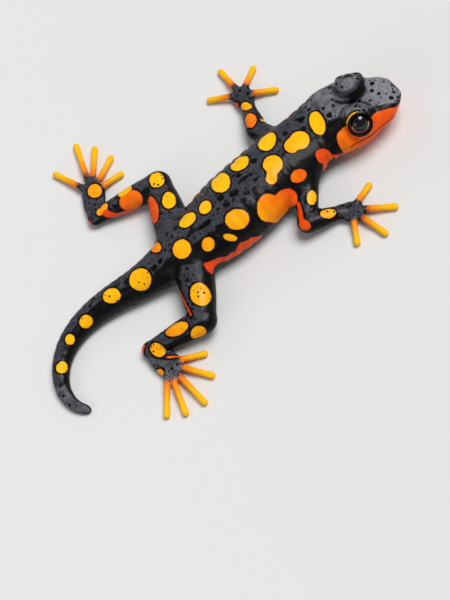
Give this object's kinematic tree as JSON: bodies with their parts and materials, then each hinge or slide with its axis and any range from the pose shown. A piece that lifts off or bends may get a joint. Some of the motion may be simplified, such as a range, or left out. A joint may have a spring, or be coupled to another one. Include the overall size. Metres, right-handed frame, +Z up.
{
  "type": "fire salamander",
  "caption": "Still, life-size fire salamander crawling with spread toes, its head turned to its right and its long tail curled on the floor.",
  "frame": {"origin": "middle of the footprint box, on the floor that the belly, soles and tail rest on", "axes": "+Y along the trunk from the tail towards the head, +X towards the animal's right, +Z up"},
  "size_m": [0.1314, 0.174, 0.0211],
  "materials": {
    "spotted_skin": "moist, satin to glossy naked skin, charcoal to black with yellow, orange and red spots",
    "toe_skin": "moist naked skin, dark on the palms and yellow-orange along the toes",
    "eye": "wet, glossy, near-black eye"
  },
  "bodies": {
    "root": {"head": "spotted_skin", "neck": "spotted_skin", "torso": "spotted_skin", "tail_base": "spotted_skin", "tail_middle": "spotted_skin", "tail_tip": "spotted_skin", "upper_arm_left": "spotted_skin", "forearm_left": "spotted_skin", "upper_arm_right": "spotted_skin", "forearm_right": "spotted_skin", "thigh_left": "spotted_skin", "shin_left": "spotted_skin", "thigh_right": "spotted_skin", "shin_right": "spotted_skin", "hand_left": "toe_skin", "hand_right": "toe_skin", "foot_left": "toe_skin", "foot_right": "toe_skin", "eye_left": "eye", "eye_right": "eye"}
  },
  "joints": []
}
